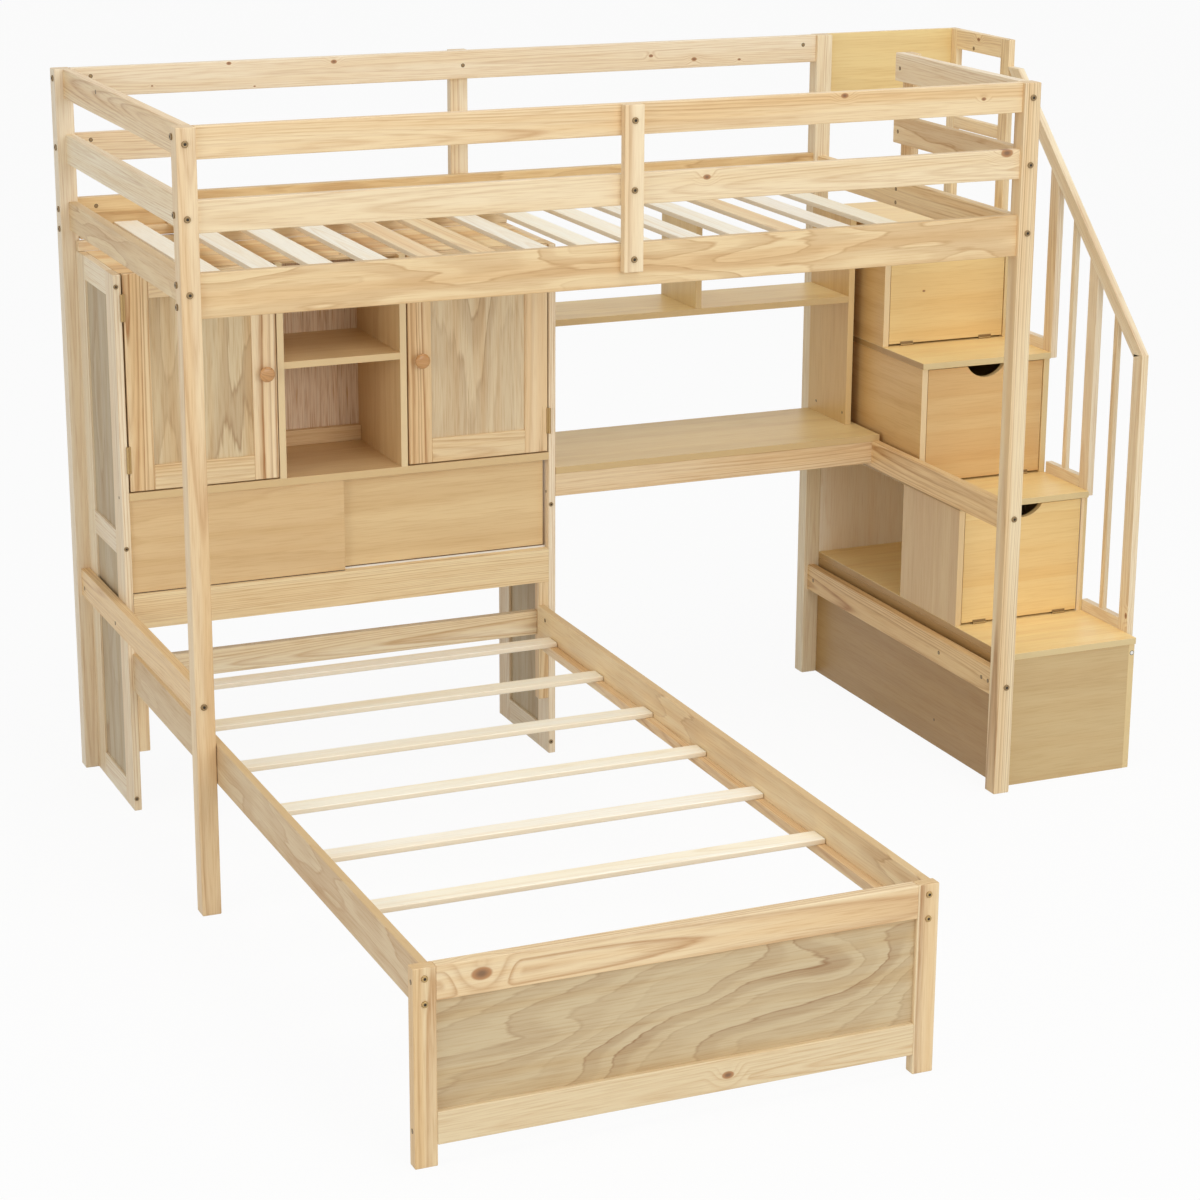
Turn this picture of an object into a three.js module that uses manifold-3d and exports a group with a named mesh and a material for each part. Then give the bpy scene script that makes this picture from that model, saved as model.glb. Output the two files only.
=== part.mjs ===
// Pine loft bed over a second bed set crosswise, with a bridge cabinet, a desk and storage stairs.
// Millimetres, Z up. It is drawn from the foot of the front left loft post, X to the right along
// the loft and Y to the back, then moved so that the origin is the bottom centre of the whole.
import * as THREE from 'three';
import { mergeVertices } from 'three/addons/utils/BufferGeometryUtils.js';
import Module from 'manifold-3d';

const wasm = await Module();
wasm.setup();

// Loft frame
const loftLength = 2000;
const loftDepth = 1055;
const postSide = 42;
const railThick = 22;
const railHeight = 67;
const railInset = 10;
const leftRailX = 20;
const sideRailHeight = 94;
const sideRailBottom = 1302;
const guardGap = 82.5;
const bedEndRaise = 21;
const uprightWidth = 50;
const uprightCentre = 995;
const uprightLap = 60;
const entryRailLength = 580;
const leftStretcherBottom = 440;
const rightStretcherBottom = 234;
const ease = 1.5;

// Deck of the loft
const deckSlats = 14;
const deckSlatWidth = 58;
const slatThick = 12;
const deckFirstSlat = 155;
const deckLastSlat = 194;
const ledgerWidth = 20;
const ledgerHeight = 22;

// Bridge cabinet
const cabinetDepth = 333;
const cabinetBelowRail = 26;
const frameThick = 18;
const frameStile = 70;
const frameTopRail = 57;
const frameBottomRail = 60;
const frameMidBottom = 612;
const frameMidRail = 55;
const panelThick = 6;
const boardThick = 18;
const sheetThick = 16;
const counterTop = 770;
const trayTop = 528;
const trayThick = 23;
const frontRailHeight = 60;
const backInset = 25;
const backRailHeight = 38;
const topSheet = 5;
const shelfRise = 275;
const doorBay = 360;
const doorStile = 58;
const doorGap = 2;
const knobRadius = 18;
const sliderLap = 4;
const sliderEnd = 1;
const sliderSpare = 6;
const sliderThick = 12;
const running = 0.5;

// Desk and hutch
const deskTopZ = 731;
const deskApronHeight = 57;
const hutchDepth = 207;
const hutchShelfTop = 1064;
const hutchBay = 427;
const hutchSideInset = 11;
const deskOverhang = 3;
const housing = 2;
const snug = 0.3;

// Storage stairs with three flap doors
const stairWidth = 362;
const riser = 308;
const firstTread = 335;
const firstGoing = 243;
const going = 206;
const nose = 5;
const flapInset = 2;
const cubbyStart = 264;
const flapThick = 15;
const cutoutWidth = 104;
const cutoutDepth = 30;

// Stair railing and platform guards
const railingThick = 18;
const railingPost = 40;
const newelInset = 38;
const midPostInset = 5;
const highPostInset = -4;
const guardPostInset = 56;
const railingShow = 28;
const railingBoard = 60;
const railingFoot = 150;
const thinWidth = 18;
const thinDepth = 12;
const handrailRise = 689;
const handrailSlope = 0.968;
const handrailDrop = 51;
const handrailFlat = 48;
const guardTopRail = 49;
const guardLowRail = 31;
const guardLowRailDrop = 253;
const guardPostFoot = 143;
const backGuardHeight = 175;
const backGuardThick = 15;

// Lower bed
const bedRailLength = 1927;
const bedFootThick = 26;
const bedFootLeft = 21;
const bedFootRight = 3;
const bedPostWidth = 44;
const bedFootTop = 389;
const footLowRail = 65;
const footLowRailBottom = 41;
const bedRailTop = 387;
const bedRailHeight = 91;
const bedInner = 995;
const bedRightGap = 11;
const bedSlats = 6;
const bedSlatWidth = 50;
const bedHeadGap = 129;
const bedFootGap = 393;
const cleatWidth = 26;
const cleatDepth = 25;
const cleatBottom = 145;
const headRailBottom = 310;
const headRailHeight = 60;

// Bolt heads and hinge barrels
const boltRadius = 7;
const boltProud = 2;
const buttHinge = 63;
const buttHingeRadius = 3.5;
const buttHingeInset = 44;
const flapHinge = 36;
const flapHingeRadius = 2;
const flapHingeInset = 32;

// Derived places
const postBack = loftDepth - postSide;
const railBack = loftDepth - railInset - railThick;
const rightRailX = loftLength - railInset - railThick;
const sideRailTop = sideRailBottom + sideRailHeight;
const secondRailBottom = sideRailTop + guardGap;
const guardRailBottom = secondRailBottom + railHeight + guardGap;
const postTop = guardRailBottom + railHeight;
const bedEndRailBottom = sideRailBottom + bedEndRaise;
const uprightBottom = sideRailTop - uprightLap;
const deckSlatPitch = (loftLength - deckFirstSlat - deckLastSlat) / (deckSlats - 1);
const deckLedgerTop = sideRailBottom + ledgerHeight;
const bedRailLeft = postSide + 1;
const bedRailRight = bedRailLeft + boardThick + bedInner;
const frameLeft = railInset + railThick;
const innerLeft = frameLeft + frameThick;
const innerRight = bedRailRight + boardThick + bedRightGap;
const frameRight = innerRight + frameThick;
const cabinetSpan = innerRight - innerLeft;
const cabinetFront = postBack - cabinetDepth;
const cabinetHeight = sideRailBottom - cabinetBelowRail;
const doorBack = cabinetFront + sheetThick;
const backBoardY = postBack - backInset;
const leftDividerX = innerLeft + doorBay;
const rightDividerX = innerRight - doorBay - sheetThick;
const shelfTop = counterTop + shelfRise;
const counterBottom = counterTop - boardThick;
const trayBottom = trayTop - trayThick;
const frontRailBottom = trayBottom - frontRailHeight;
const sliderWidth = (cabinetSpan - sliderEnd - sliderSpare + sliderLap) / 2;
const deskBottom = deskTopZ - sheetThick;
const hutchDividerX = frameRight + hutchBay;
const hutchSideX = rightRailX - hutchSideInset;
const stairRight = loftLength + stairWidth;
const stairInner = loftLength + sheetThick;
const stairOuter = stairRight - sheetThick;
const stairBack = postBack + sheetThick;
const faces = [0, firstGoing, firstGoing + going, firstGoing + 2 * going].map((run) => postSide + run);
const levels = [0, 1, 2, 3].map((i) => firstTread + i * riser);
const under = levels.map((level) => level - sheetThick);
const cubbyWallY = faces[1] + cubbyStart;
const newelFront = faces[0] + newelInset;
const midPostFront = faces[1] + midPostInset;
const highPostFront = faces[2] + highPostInset;
const guardPostFront = faces[3] + guardPostInset;
const guardPostBottom = under[3] - guardPostFoot;
const guardLowRailBottom = postTop - guardLowRailDrop;
const bedLeft = bedRailLeft - bedFootLeft;
const bedRight = bedRailRight + boardThick + bedFootRight;
const bedFootBack = cabinetFront - bedRailLength;
const bedFootFront = bedFootBack - bedFootThick;
const bedFirstSlat = cabinetFront - bedHeadGap;
const bedSlatPitch = (bedFirstSlat - bedFootBack - bedFootGap) / (bedSlats - 1);
const bedLedgerTop = bedRailTop - bedRailHeight + ledgerHeight;
const guardMid = guardRailBottom + railHeight / 2;
const secondMid = secondRailBottom + railHeight / 2;
const bedEndMid = bedEndRailBottom + railHeight / 2;

// Looks, one per kind of surface
const look = (color, roughness) => new THREE.MeshStandardMaterial({ color, roughness, metalness: 0 });
const pine = look(0xe9d4aa, 0.55);
const greyPine = look(0xdcc8a0, 0.55);
const slatPine = look(0xf2e2c4, 0.6);
const laminate = look(0xddb981, 0.45);
const backing = look(0xb8a188, 0.6);
const varnish = look(0xc99c63, 0.3);

// Closed surfaces from boxes, outlines and bars, and their joins
const bare = (geometry) => {
  geometry.deleteAttribute('normal');
  geometry.deleteAttribute('uv');
  return mergeVertices(geometry, 1e-4);
};

const box = (x0, x1, y0, y1, z0, z1) =>
  bare(new THREE.BoxGeometry(x1 - x0, y1 - y0, z1 - z0)
    .translate((x0 + x1) / 2, (y0 + y1) / 2, (z0 + z1) / 2));

const axisX = new THREE.Vector3(1, 0, 0);
const axisY = new THREE.Vector3(0, 1, 0);
const axisZ = new THREE.Vector3(0, 0, 1);

const flat = (points) => points.map(([a, b]) => new THREE.Vector2(a, b));

// Outline with its windows, run to a length, with the edges of both ends eased where soft is given
const prism = (points, depth, axes, at, soft, windows) => {
  const shape = new THREE.Shape(flat(points));
  shape.holes = windows.map((window) => new THREE.Path(flat(window)));
  const geometry = new THREE.ExtrudeGeometry(shape, {
    depth: depth - 2 * soft, bevelEnabled: soft > 0, bevelSegments: 1,
    bevelThickness: soft, bevelSize: soft, bevelOffset: -soft,
  });
  return bare(geometry.translate(0, 0, soft)
    .applyMatrix4(new THREE.Matrix4().makeBasis(...axes)).translate(...at));
};

// Outline in Y and Z, run along X
const alongX = (points, x0, x1, soft = 0, windows = []) =>
  prism(points, x1 - x0, [axisY, axisZ, axisX], [x0, 0, 0], soft, windows);

// Outline in X and Z, run along Y
const alongY = (points, y0, y1, soft = 0, windows = []) =>
  prism(points, y1 - y0, [axisX, axisZ, axisY.clone().negate()], [0, y1, 0], soft, windows);

// Outline in X and Y, run along Z
const alongZ = (points, z0, z1, soft = 0, windows = []) =>
  prism(points, z1 - z0, [axisX, axisY, axisZ], [0, 0, z0], soft, windows);

const oblong = (a0, a1, b0, b1) => [[a0, b0], [a1, b0], [a1, b1], [a0, b1]];
const easedOblong = (a0, a1, b0, b1) => [[a0 + ease, b0], [a1 - ease, b0], [a1, b0 + ease], [a1, b1 - ease],
  [a1 - ease, b1], [a0 + ease, b1], [a0, b1 - ease], [a0, b0 + ease]];

// Planed length of timber: square ends, and the four long edges eased
const timber = (x0, x1, y0, y1, z0, z1) => {
  const longest = Math.max(x1 - x0, y1 - y0, z1 - z0);
  if (longest === x1 - x0) return alongX(easedOblong(y0, y1, z0, z1), x0, x1);
  if (longest === y1 - y0) return alongY(easedOblong(x0, x1, z0, z1), y0, y1);
  return alongZ(easedOblong(x0, x1, y0, y1), z0, z1);
};

// Many-sided bar from a point along a direction
const bar = (radius, sides, from, direction, length) => {
  const turn = new THREE.Quaternion().setFromUnitVectors(axisY, direction);
  const middle = from.clone().addScaledVector(direction, length / 2);
  return bare(new THREE.CylinderGeometry(radius, radius, length, sides)
    .applyQuaternion(turn).translate(middle.x, middle.y, middle.z));
};

const solid = (geometry) => new wasm.Manifold(new wasm.Mesh({
  numProp: 3,
  vertProperties: new Float32Array(geometry.attributes.position.array),
  triVerts: new Uint32Array(geometry.index.array),
}));

const surface = (body) => {
  const mesh = body.getMesh();
  const geometry = new THREE.BufferGeometry();
  geometry.setAttribute('position', new THREE.BufferAttribute(mesh.vertProperties, 3));
  geometry.setIndex(new THREE.BufferAttribute(mesh.triVerts, 1));
  return geometry;
};

const joined = (pieces) => surface(pieces.map(solid).reduce((whole, piece) => whole.add(piece)));
const cut = (geometry, tool) => surface(solid(geometry).subtract(solid(tool)));

// Bolt heads stand a little proud of the wood that they hold
const toBack = axisY;
const toFront = axisY.clone().negate();
const toRight = axisX;
const toLeft = axisX.clone().negate();
const head = (x, y, z, inward) =>
  bar(boltRadius, 8, new THREE.Vector3(x, y, z).addScaledVector(inward, -boltProud), inward, 2 * boltProud);

const parts = new THREE.Group();
const add = (name, geometry, material) => {
  const mesh = new THREE.Mesh(geometry, material);
  mesh.name = name;
  parts.add(mesh);
};

// Loft posts: bolts from front and back hold the end rails, bolts from the sides the long rails
const post = (x, y, endHeights) => {
  const isLeft = x === 0;
  const isFront = y === 0;
  const railX = isLeft ? leftRailX + railThick / 2 : rightRailX + railThick / 2;
  const railY = isFront ? railInset + railThick / 2 : railBack + railThick / 2;
  const ends = endHeights.map((z) =>
    head(railX, isFront ? 0 : loftDepth, z, isFront ? toBack : toFront));
  const sides = isLeft || isFront ? [guardMid + 12, secondMid - 12, bedEndMid + 14, bedEndMid - 30].map((z) =>
    head(isLeft ? 0 : loftLength, railY, z, isLeft ? toRight : toLeft)) : [];
  return joined([timber(x, x + postSide, y, y + postSide, 0, postTop), ...ends, ...sides]);
};

const leftHeights = [guardMid, secondMid, bedEndMid, leftStretcherBottom + railHeight / 2];
const rightHeights = [guardMid, secondMid, bedEndMid, deskBottom - railHeight / 2,
  rightStretcherBottom + railHeight / 2];
add('loft_post_front_left', post(0, 0, leftHeights), pine);
add('loft_post_front_right', post(loftLength - postSide, 0, rightHeights), pine);
add('loft_post_back_left', post(0, postBack, leftHeights), pine);
add('loft_post_back_right', post(loftLength - postSide, postBack, rightHeights.slice(2)), pine);

// Long rails between the posts, and the uprights bolted across them
const longRail = (y, bottom, height) =>
  timber(postSide, loftLength - postSide, y, y + railThick, bottom, bottom + height);

const upright = (y, faceY, inward) => joined([
  timber(uprightCentre - uprightWidth / 2, uprightCentre + uprightWidth / 2, y, y + railThick,
    uprightBottom, postTop),
  ...[guardMid, secondMid, bedEndMid - 4].map((z) => head(uprightCentre, faceY, z, inward)),
]);

add('front_top_rail', longRail(railInset, guardRailBottom, railHeight), pine);
add('front_second_rail', longRail(railInset, secondRailBottom, railHeight), pine);
add('front_side_rail', longRail(railInset, sideRailBottom, sideRailHeight), greyPine);
add('back_top_rail', longRail(railBack, guardRailBottom, railHeight), pine);
add('back_second_rail', longRail(railBack, secondRailBottom, railHeight), pine);
add('back_side_rail', longRail(railBack, sideRailBottom, sideRailHeight), greyPine);
add('front_upright', upright(railInset - railThick, railInset - railThick, toBack), pine);
add('back_upright', upright(railBack + railThick, railBack + 2 * railThick, toFront), pine);

// End rails and stretchers from front to back
const endRail = (x, bottom, y1 = postBack) =>
  timber(x, x + railThick, postSide, y1, bottom, bottom + railHeight);

const entryEnd = postSide + entryRailLength;
const entryGuard = () => joined([
  endRail(rightRailX, guardRailBottom, entryEnd),
  endRail(rightRailX, secondRailBottom, entryEnd),
  timber(rightRailX + railThick, rightRailX + 2 * railThick, entryEnd - uprightWidth, entryEnd,
    bedEndRailBottom, postTop),
  ...[guardMid, secondMid, bedEndMid + 13, bedEndMid - 19].map((z) =>
    head(rightRailX + 2 * railThick, entryEnd - uprightWidth / 2, z, toLeft)),
]);

add('left_end_top_rail', endRail(leftRailX, guardRailBottom), pine);
add('left_end_second_rail', endRail(leftRailX, secondRailBottom), pine);
add('left_bed_end_rail', endRail(leftRailX, bedEndRailBottom), pine);
add('right_bed_end_rail', endRail(rightRailX, bedEndRailBottom), pine);
add('entry_guard', entryGuard(), pine);
add('left_low_stretcher', endRail(railInset, leftStretcherBottom), pine);
add('right_low_stretcher', endRail(rightRailX, rightStretcherBottom), pine);
add('desk_stretcher', endRail(rightRailX, deskBottom - railHeight), pine);

// Deck: slats screwed down on two ledgers
const deckFront = railInset + railThick;
const deck = () => joined([
  ...[deckFront, railBack - ledgerWidth].map((y) =>
    box(postSide + 1, loftLength - postSide - 1, y, y + ledgerWidth, sideRailBottom, deckLedgerTop)),
  ...Array.from({ length: deckSlats }, (_, i) => {
    const x = deckFirstSlat + i * deckSlatPitch - deckSlatWidth / 2;
    return timber(x, x + deckSlatWidth, deckFront + 1, railBack - 1, deckLedgerTop, deckLedgerTop + slatThick);
  }),
]);
add('deck_slats', deck(), slatPine);

// Cabinet side: two stiles and three rails around two sunk panels
const sideFrame = (x) => {
  const y0 = cabinetFront + frameStile;
  const y1 = postBack - frameStile;
  const mid = x + frameThick / 2;
  const midTop = frameMidBottom + frameMidRail;
  const topRail = cabinetHeight - frameTopRail;
  const windows = [oblong(y0, y1, frameBottomRail, frameMidBottom), oblong(y0, y1, midTop, topRail)];
  const heights = [frameBottomRail / 2, (frameMidBottom + midTop) / 2, (topRail + cabinetHeight) / 2];
  return joined([
    alongX(oblong(cabinetFront, postBack, 0, cabinetHeight), x, x + frameThick, ease, windows),
    box(mid - panelThick / 2, mid + panelThick / 2, y0 - 4, y1 + 4, frameBottomRail - 4, topRail + 4),
    ...heights.map((z) => head(mid, cabinetFront, z, toBack)),
  ]);
};
add('cabinet_left_frame', sideFrame(frameLeft), pine);
add('cabinet_right_frame', sideFrame(innerRight), pine);

// Cabinet boards between the sides
const topFront = doorBack + 3;
const divider = (x) => alongX([[cabinetFront, counterTop], [backBoardY, counterTop],
  [backBoardY, cabinetHeight - topSheet], [topFront, cabinetHeight - topSheet],
  [topFront, cabinetHeight], [cabinetFront, cabinetHeight]], x, x + sheetThick);

add('cabinet_top_sheet', box(innerLeft, innerRight, topFront, backBoardY + panelThick,
  cabinetHeight - topSheet, cabinetHeight), greyPine);
add('cabinet_counter_board', box(innerLeft, innerRight, cabinetFront, postBack, counterBottom, counterTop),
  laminate);
add('cabinet_bottom_board', box(innerLeft, innerRight, cabinetFront, postBack, trayBottom, trayTop), laminate);
add('cabinet_left_divider', divider(leftDividerX), pine);
add('cabinet_right_divider', divider(rightDividerX), pine);
add('cabinet_shelf', box(leftDividerX + sheetThick, rightDividerX, cabinetFront + 1, backBoardY,
  shelfTop - sheetThick, shelfTop), pine);
add('cabinet_back_board', joined([
  box(innerLeft, innerRight, backBoardY, backBoardY + panelThick, counterTop, cabinetHeight - topSheet),
  box(leftDividerX + sheetThick, rightDividerX, backBoardY - boardThick, backBoardY + 1,
    counterTop, counterTop + backRailHeight),
]), backing);
add('cabinet_front_rail', timber(innerLeft, innerRight, cabinetFront, cabinetFront + railThick,
  frontRailBottom, trayBottom), pine);

// Hinged doors with a sunk panel and the hinge barrels on their outer edge
const hingeOut = buttHingeRadius + 0.1;
const door = (x0, x1, side) => {
  const z0 = counterTop + doorGap + 1;
  const mid = (cabinetFront + doorBack) / 2;
  const axis = side < 0 ? innerLeft - 0.5 : innerRight + 0.5;
  const edge = side < 0 ? [x0 - 1, x0 + 4] : [x1 - 4, x1 + 1];
  const barrels = [z0 + buttHingeInset, cabinetHeight - buttHingeInset - buttHinge].flatMap((z) => [
    bar(buttHingeRadius, 8, new THREE.Vector3(axis, cabinetFront - hingeOut, z), axisZ, buttHinge),
    box(...edge, cabinetFront - 3, cabinetFront + 2, z, z + buttHinge),
  ]);
  const window = [x0 + doorStile, x1 - doorStile, z0 + doorStile, cabinetHeight - doorStile];
  const [a0, a1, b0, b1] = window;
  return joined([
    alongY(oblong(x0, x1, z0, cabinetHeight), cabinetFront, doorBack, ease, [oblong(...window)]),
    box(a0 - 4, a1 + 4, mid - panelThick / 2, mid + panelThick / 2, b0 - 4, b1 + 4),
    ...barrels,
  ]);
};

// Turned knob on a short neck
const knob = (x, z) => {
  const r = knobRadius;
  const profile = [[0, 0], [r * 0.5, 0], [r * 0.42, r * 0.3], [r * 0.45, r * 0.6], [r * 0.85, r * 0.8],
    [r, r * 1.05], [r * 0.9, r * 1.3], [r * 0.55, r * 1.4], [0, r * 1.42]];
  const shape = new THREE.LatheGeometry(profile.map(([a, b]) => new THREE.Vector2(a, b)), 16);
  return bare(shape.rotateX(Math.PI).translate(x, cabinetFront, z));
};

const knobZ = (counterTop + doorGap + 1 + cabinetHeight) / 2;
const leftDoor = [innerLeft + doorGap, leftDividerX - doorGap];
const rightDoor = [rightDividerX + sheetThick + doorGap + 1, innerRight - doorGap];
add('left_door', door(...leftDoor, -1), pine);
add('right_door', door(...rightDoor, 1), pine);
add('left_door_knob', knob(leftDoor[1] - doorStile / 2, knobZ), varnish);
add('right_door_knob', knob(rightDoor[0] + doorStile / 2, knobZ), varnish);

// Sliding doors that pass each other
const slider = (x, y) =>
  box(x, x + sliderWidth, y, y + sliderThick, trayTop + running, counterBottom - running);
const sliderFront = cabinetFront + 8;
add('left_sliding_door', slider(innerLeft + sliderEnd, sliderFront), laminate);
add('right_sliding_door', slider(innerRight - sliderWidth - sliderSpare, sliderFront + sliderThick + 4),
  laminate);

// Desk and hutch: the hutch's side stands in a shallow housing in the desk
const hutchFront = postBack - hutchDepth;
add('desk_top', cut(
  box(frameRight, rightRailX + railThick - 2, cabinetFront - deskOverhang, postBack, deskBottom, deskTopZ),
  box(hutchSideX - snug, hutchSideX + sheetThick + snug, hutchFront - snug, postBack + 1,
    deskTopZ - housing, deskTopZ + 1),
), laminate);
add('desk_apron', timber(frameRight, rightRailX, cabinetFront, cabinetFront + railThick,
  deskBottom - deskApronHeight, deskBottom), pine);
add('hutch_shelf', joined([
  box(frameRight, hutchSideX, hutchFront, postBack, hutchShelfTop - sheetThick, hutchShelfTop),
  box(hutchDividerX, hutchDividerX + sheetThick, hutchFront, postBack, hutchShelfTop - 1, cabinetHeight),
]), laminate);
add('hutch_side_panel', box(hutchSideX, hutchSideX + sheetThick, hutchFront, postBack,
  deskTopZ - housing, cabinetHeight), laminate);

// Stair sides step up with the treads. The left one is open behind the second step
const stepOutline = [[postBack, 0], [postBack, under[3]],
  ...faces.map((y, i) => [[y, i ? under[i - 1] : 0], [y, under[i]]]).reverse()
    .flatMap(([low, high]) => [high, low])].reverse();
const stairSide = (x) => alongX(stepOutline, x, x + sheetThick);
const cubby = box(loftLength - 1, stairInner + 1, cubbyWallY + sheetThick, postBack - sheetThick,
  levels[0], under[1]);
add('stair_left_side', cut(stairSide(loftLength), cubby), laminate);
add('stair_right_side', stairSide(stairOuter), laminate);
add('stair_base_panel', box(stairInner, stairOuter, postSide, postSide + sheetThick, 0, under[0]), laminate);
add('stair_back_panel', box(loftLength, stairRight, postBack, stairBack, 0, under[3]), backing);
add('cubby_wall', box(stairInner, stairOuter, cubbyWallY, cubbyWallY + sheetThick, levels[0], under[1]),
  laminate);

// Each tread covers its step and runs in between the sides as the floor of the next compartment
const tread = (i) => {
  const face = faces[i + 1];
  return alongZ([[loftLength, faces[i] - nose], [stairRight, faces[i] - nose], [stairRight, face],
    [stairOuter, face], [stairOuter, postBack], [stairInner, postBack], [stairInner, face],
    [loftLength, face]], under[i], levels[i]);
};
add('lower_tread', tread(0), laminate);
add('middle_tread', tread(1), laminate);
add('upper_tread', tread(2), laminate);
add('stair_platform', box(loftLength, stairRight, faces[3] - nose, stairBack, under[3], levels[3]), laminate);

// Drop-down flap with a finger cut-out in its top edge and two hinge barrels at its foot
const flap = (level, face) => {
  const x0 = stairInner + doorGap;
  const x1 = stairOuter - doorGap;
  const z0 = level + 2 * flapHingeRadius + 1;
  const z1 = level + riser - sheetThick - doorGap - 1;
  const middle = (x0 + x1) / 2;
  const half = cutoutWidth / 2;
  const rise = [[1, 0], [0.84, 0.2], [0.68, 0.62], [0.44, 0.9], [0.2, 1]];
  const notch = [...rise, ...rise.map(([a, b]) => [-a, b]).reverse()]
    .map(([a, b]) => [middle + a * half, z1 - b * cutoutDepth]);
  const axis = level + flapHingeRadius + running;
  const hinges = [x0 + flapHingeInset, x1 - flapHingeInset - flapHinge].flatMap((x) => [
    bar(flapHingeRadius, 8, new THREE.Vector3(x, face - flapHingeRadius - running, axis), axisX, flapHinge),
    box(x, x + flapHinge, face - 3, face + 1, axis, z0 + 6),
  ]);
  return joined([
    alongY([[x0, z0], [x1, z0], [x1, z1], ...notch, [x0, z1]], face, face + flapThick), ...hinges]);
};
add('lower_flap_door', flap(levels[0], faces[1] + flapInset), laminate);
add('middle_flap_door', flap(levels[1], faces[2] + flapInset), laminate);
add('upper_flap_door', flap(levels[2], faces[3] + flapInset), laminate);

// Railing outside the stairs: newel, posts, cross boards and thin balusters under a sloped handrail
const railTopAt = (y) => firstTread + handrailRise + handrailSlope * (y - newelFront);
const railLowAt = (y) => railTopAt(y) - handrailDrop;
const newelBack = newelFront + railingPost;
const outX = stairRight + railingThick;
const sunk = 10;

const handrail = () => {
  const capY = guardPostFront - handrailFlat;
  return alongX([[newelFront, railTopAt(newelFront) - 1], [newelBack, railLowAt(newelBack)],
    [guardPostFront, railLowAt(guardPostFront)], [guardPostFront, railTopAt(capY)], [capY, railTopAt(capY)]],
  stairRight, outX, ease);
};

const railingPostAt = (y, foot) => {
  const back = y + railingPost;
  return alongX([[y, foot], [back, foot], [back, railLowAt(back) + sunk], [y, railLowAt(y) + sunk]],
    stairRight, outX, ease);
};

const newelPost = () => alongX([[newelFront, firstTread - railingFoot], [newelBack, firstTread - railingFoot],
  [newelBack, railLowAt(newelBack) + sunk], [newelFront, railTopAt(newelFront)]], stairRight, outX, ease);

const bay = (y0, y1, level) => {
  const a = (y0 + y1 - thinWidth) / 2;
  const b = a + thinWidth;
  const foot = level + railingShow - 1;
  const inset = (railingThick - thinDepth) / 2;
  return [
    timber(stairRight, outX, y0 - 1, y1 + (y1 === guardPostFront ? 0 : 1), foot + 1 - railingBoard, foot + 1),
    alongX([[a, foot], [b, foot], [b, railLowAt(b) + sunk], [a, railLowAt(a) + sunk]],
      stairRight + inset, outX - inset, ease / 2),
  ];
};

add('stair_railing', joined([
  handrail(), newelPost(),
  railingPostAt(midPostFront, levels[1] - railingFoot),
  railingPostAt(highPostFront, levels[2] - railingFoot),
  ...bay(newelBack, midPostFront, levels[0]),
  ...bay(midPostFront + railingPost, highPostFront, levels[1]),
  ...bay(highPostFront + railingPost, guardPostFront, levels[2]),
]), pine);

const platformGuard = () => {
  const backPost = loftDepth - railingPost;
  const inner = [guardPostFront + railingPost - 1, backPost + 1];
  return joined([
    timber(stairRight, outX, guardPostFront, guardPostFront + railingPost, guardPostBottom, postTop),
    timber(stairRight, outX, backPost, loftDepth, guardPostBottom, postTop),
    timber(stairRight, outX, ...inner, postTop - guardTopRail, postTop),
    timber(stairRight, outX, ...inner, guardLowRailBottom, guardLowRailBottom + guardLowRail),
    box(loftLength, stairRight + 2 * ease, loftDepth - backGuardThick, loftDepth, postTop - backGuardHeight, postTop),
  ]);
};
add('platform_guard', platformGuard(), pine);

// Lower bed: footboard with a sunk panel, rails, slats on ledgers, and the head cleats with their rail
const footboard = () => {
  const inner = [bedLeft + bedPostWidth, bedRight - bedPostWidth];
  const panel = [footLowRailBottom + footLowRail, bedFootTop - railHeight];
  const mid = (bedFootFront + bedFootBack) / 2;
  const outline = [[bedLeft, 0], [inner[0], 0], [inner[0], footLowRailBottom], [inner[1], footLowRailBottom],
    [inner[1], 0], [bedRight, 0], [bedRight, bedFootTop], [bedLeft, bedFootTop]];
  return joined([
    alongY(outline, bedFootFront, bedFootBack, ease, [oblong(...inner, ...panel)]),
    box(inner[0] - 4, inner[1] + 4, mid - panelThick / 2, mid + panelThick / 2, panel[0] - 4, panel[1] + 4),
    ...[bedLeft + bedPostWidth / 2, bedRight - bedPostWidth / 2].flatMap((x) =>
      [bedFootTop - 21, bedFootTop - 71].map((z) => head(x, bedFootFront, z, toBack))),
  ]);
};
add('footboard', footboard(), pine);

const bedRail = (x) =>
  timber(x, x + boardThick, bedFootBack, cabinetFront, bedRailTop - bedRailHeight, bedRailTop);
add('lower_bed_left_rail', bedRail(bedRailLeft), greyPine);
add('lower_bed_right_rail', bedRail(bedRailRight), greyPine);

const bedDeck = () => {
  const in0 = bedRailLeft + boardThick;
  return joined([
    ...[in0, bedRailRight - ledgerWidth].map((x) => box(x, x + ledgerWidth, bedFootBack + 20,
      bedFirstSlat + bedSlatWidth, bedLedgerTop - ledgerHeight, bedLedgerTop)),
    ...Array.from({ length: bedSlats }, (_, i) => {
      const y = bedFirstSlat - i * bedSlatPitch;
      return timber(in0 + 1, bedRailRight - 1, y, y + bedSlatWidth, bedLedgerTop, bedLedgerTop + slatThick);
    }),
  ]);
};
add('lower_bed_slats', bedDeck(), slatPine);

add('lower_bed_head', joined([
  timber(innerLeft, innerLeft + cleatWidth, cabinetFront, cabinetFront + cleatDepth,
    cleatBottom, frontRailBottom),
  timber(innerRight - cleatWidth, innerRight, cabinetFront, cabinetFront + cleatDepth,
    cleatBottom, frontRailBottom),
  timber(innerLeft + cleatWidth - 1, innerRight - cleatWidth + 1, cabinetFront + 10,
    cabinetFront + 10 + railThick, headRailBottom, headRailBottom + headRailHeight),
]), pine);

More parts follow.
